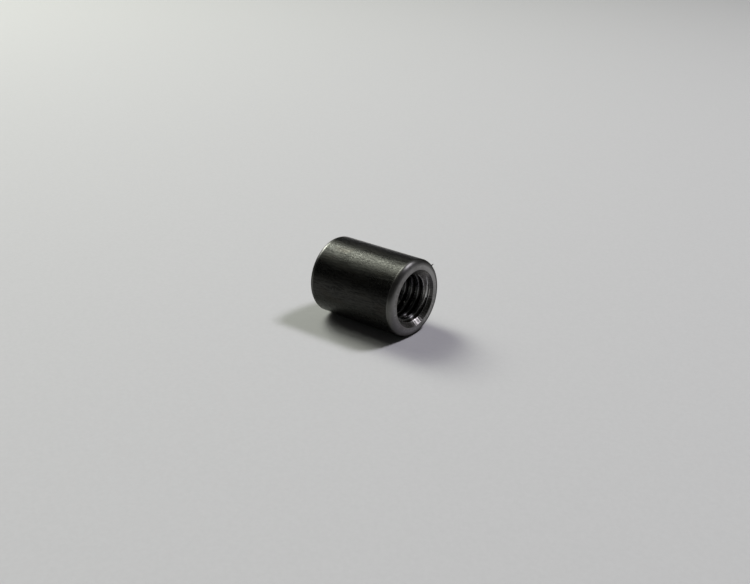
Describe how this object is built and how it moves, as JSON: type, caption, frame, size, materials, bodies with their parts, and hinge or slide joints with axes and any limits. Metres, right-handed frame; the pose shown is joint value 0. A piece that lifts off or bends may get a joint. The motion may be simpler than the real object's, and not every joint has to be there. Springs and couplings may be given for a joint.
{
  "type": "weld bung",
  "caption": "Round steel weld bung: a short plain sleeve with a coarse right-hand thread cut right through it, countersunk at both ends.",
  "frame": {"origin": "centre of the rear end face, on which the bung stands", "axes": "+Z along the bore axis, from the rear end to the front end; X and Y are equal by symmetry"},
  "size_m": [0.019, 0.019, 0.0254],
  "materials": {
    "steel": "uncoated cold-drawn bar, dark and dull along the side, with turned end faces"
  },
  "bodies": {
    "root": {"weld_bung": "steel"}
  },
  "joints": []
}
